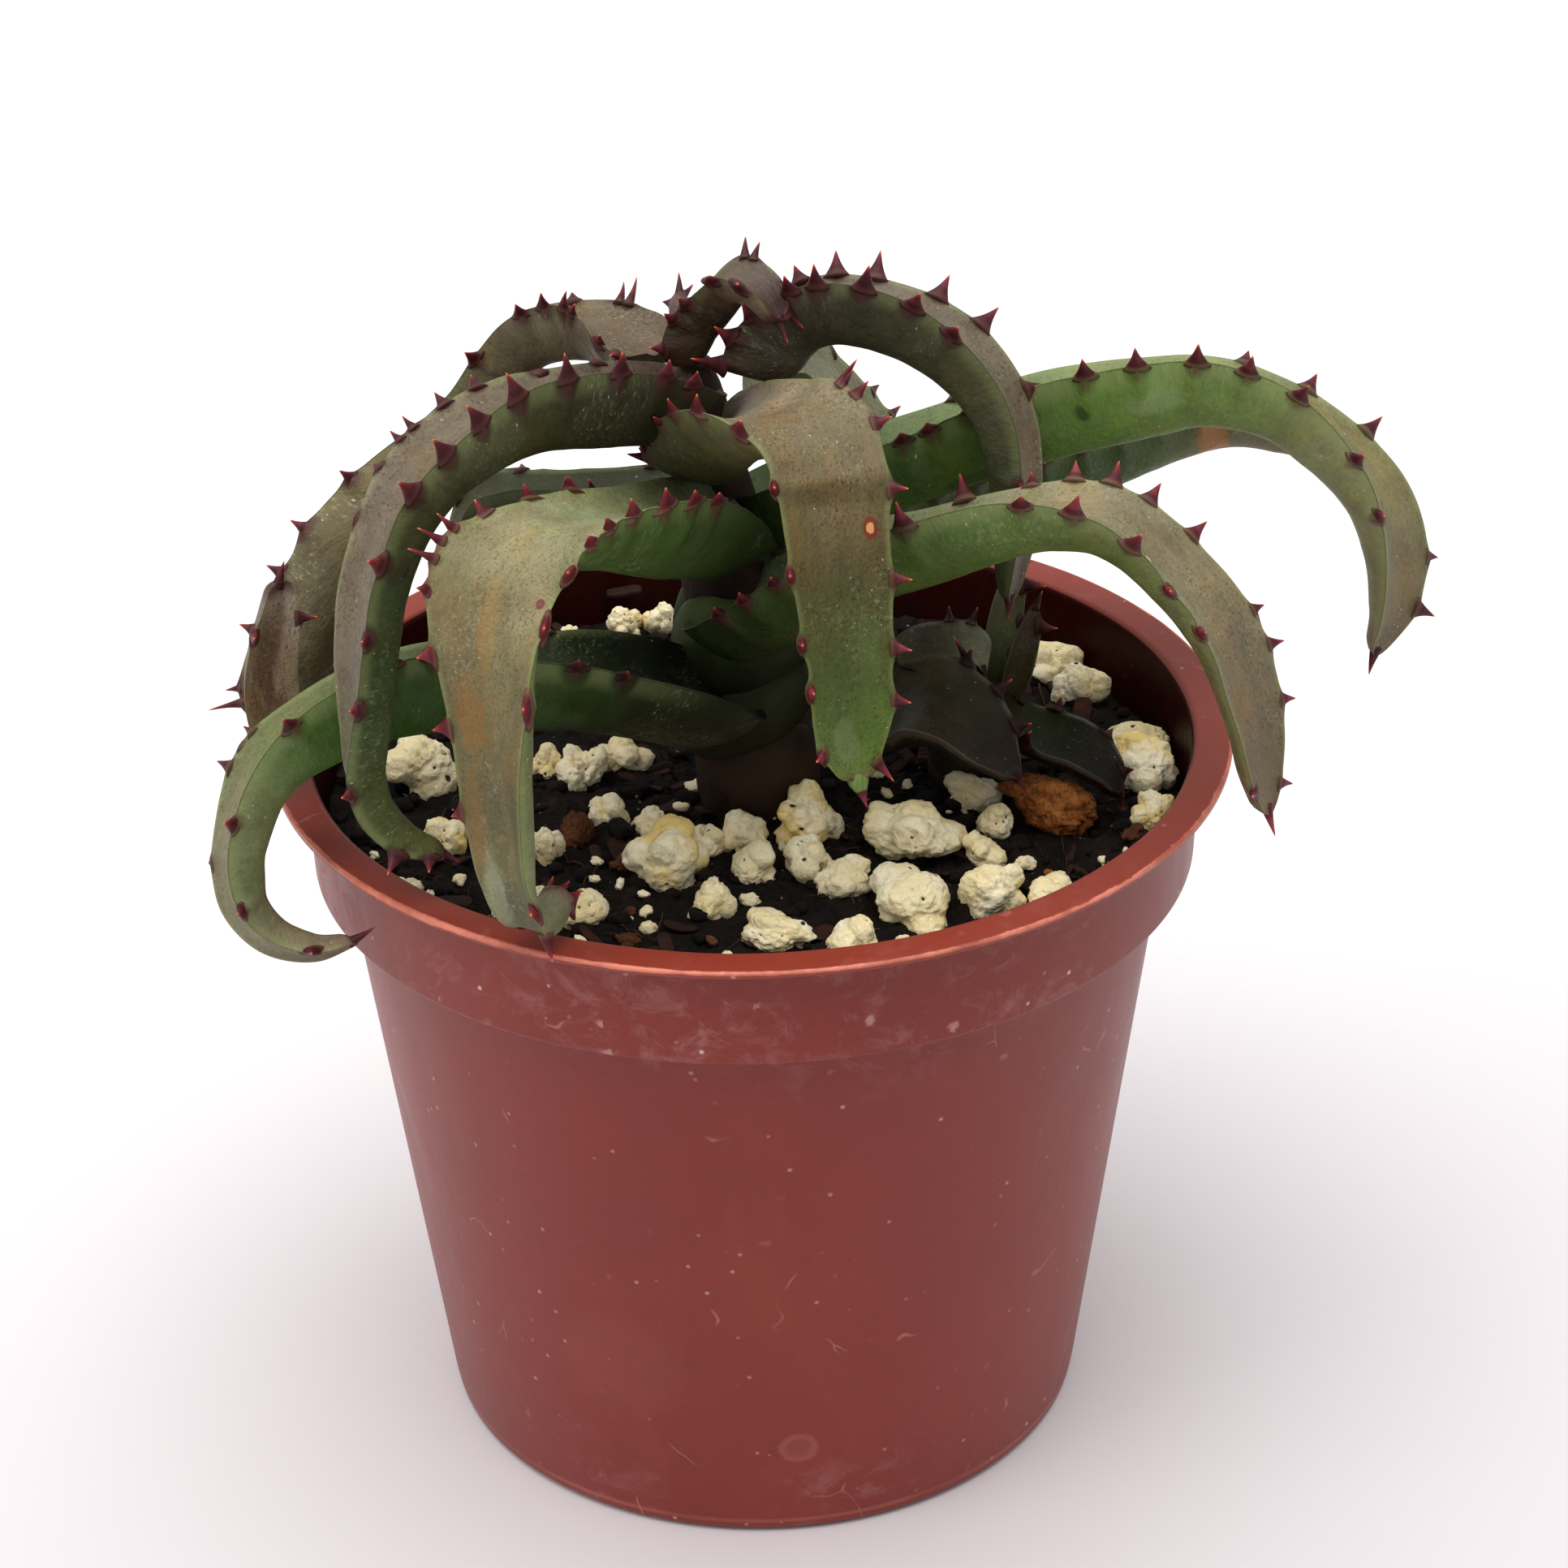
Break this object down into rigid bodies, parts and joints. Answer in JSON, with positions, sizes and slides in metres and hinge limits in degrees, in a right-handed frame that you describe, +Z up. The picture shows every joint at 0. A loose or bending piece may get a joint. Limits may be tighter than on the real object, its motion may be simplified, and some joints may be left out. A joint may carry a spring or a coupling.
{
  "type": "potted aloe castilloniae",
  "caption": "Small potted aloe with thick recurved leaves edged in red teeth, in a plain terracotta-coloured plastic nursery pot topped with perlite.",
  "frame": {"origin": "centre of the flat pad in the middle of the pot's underside", "axes": "+Z up out of the pot, -Y towards the front of the picture, +X to the picture's right"},
  "size_m": [0.0823, 0.0673, 0.0864],
  "materials": {
    "pot_plastic": "matte, scuffed, with dry lime smudges",
    "potting_mix": "rough, dry peat and bark fines",
    "stem_sheath": "matte, old leaf sheaths",
    "leaf_flesh": "satin, finely rough with dark papillae, red marginal teeth",
    "offset_leaf_flesh": "matte, finely rough, pale edges",
    "perlite": "matte, pitted",
    "fired_clay": "matte, granular",
    "bark": "rough"
  },
  "bodies": {
    "root": {"pot": "pot_plastic", "soil": "potting_mix", "stem": "stem_sheath", "offset_stem": "stem_sheath", "leaf_heart": "leaf_flesh", "leaf_top_young": "leaf_flesh", "leaf_low_left": "leaf_flesh", "leaf_right_front": "leaf_flesh", "leaf_front_left": "leaf_flesh", "leaf_front": "leaf_flesh", "leaf_left_arch": "leaf_flesh", "leaf_right_arch": "leaf_flesh", "leaf_far_right": "leaf_flesh", "leaf_left_hooked": "leaf_flesh", "leaf_right_back": "leaf_flesh", "leaf_back_left": "leaf_flesh", "leaf_back_right": "leaf_flesh", "offset_leaf_1": "offset_leaf_flesh", "offset_leaf_2": "offset_leaf_flesh", "offset_leaf_3": "offset_leaf_flesh", "offset_leaf_4": "offset_leaf_flesh", "offset_leaf_5": "offset_leaf_flesh", "perlite_01": "perlite", "perlite_02": "perlite", "perlite_03": "perlite", "perlite_04": "perlite", "perlite_05": "perlite", "perlite_06": "perlite", "perlite_07": "perlite", "bark_crumb_1": "bark", "perlite_08": "perlite", "perlite_09": "perlite", "perlite_10": "perlite", "perlite_11": "perlite", "perlite_12": "perlite", "perlite_13": "perlite", "perlite_14": "perlite", "perlite_15": "perlite", "perlite_16": "perlite", "perlite_17": "perlite", "perlite_18": "perlite", "perlite_19": "perlite", "perlite_20": "perlite", "perlite_21": "perlite", "perlite_22": "perlite", "clay_grain_1": "fired_clay", "perlite_23": "perlite", "perlite_24": "perlite", "perlite_25": "perlite", "perlite_26": "perlite", "perlite_27": "perlite", "perlite_28": "perlite", "perlite_29": "perlite", "perlite_30": "perlite", "perlite_31": "perlite", "perlite_32": "perlite", "perlite_33": "perlite", "bark_chip": "bark"}
  },
  "joints": []
}
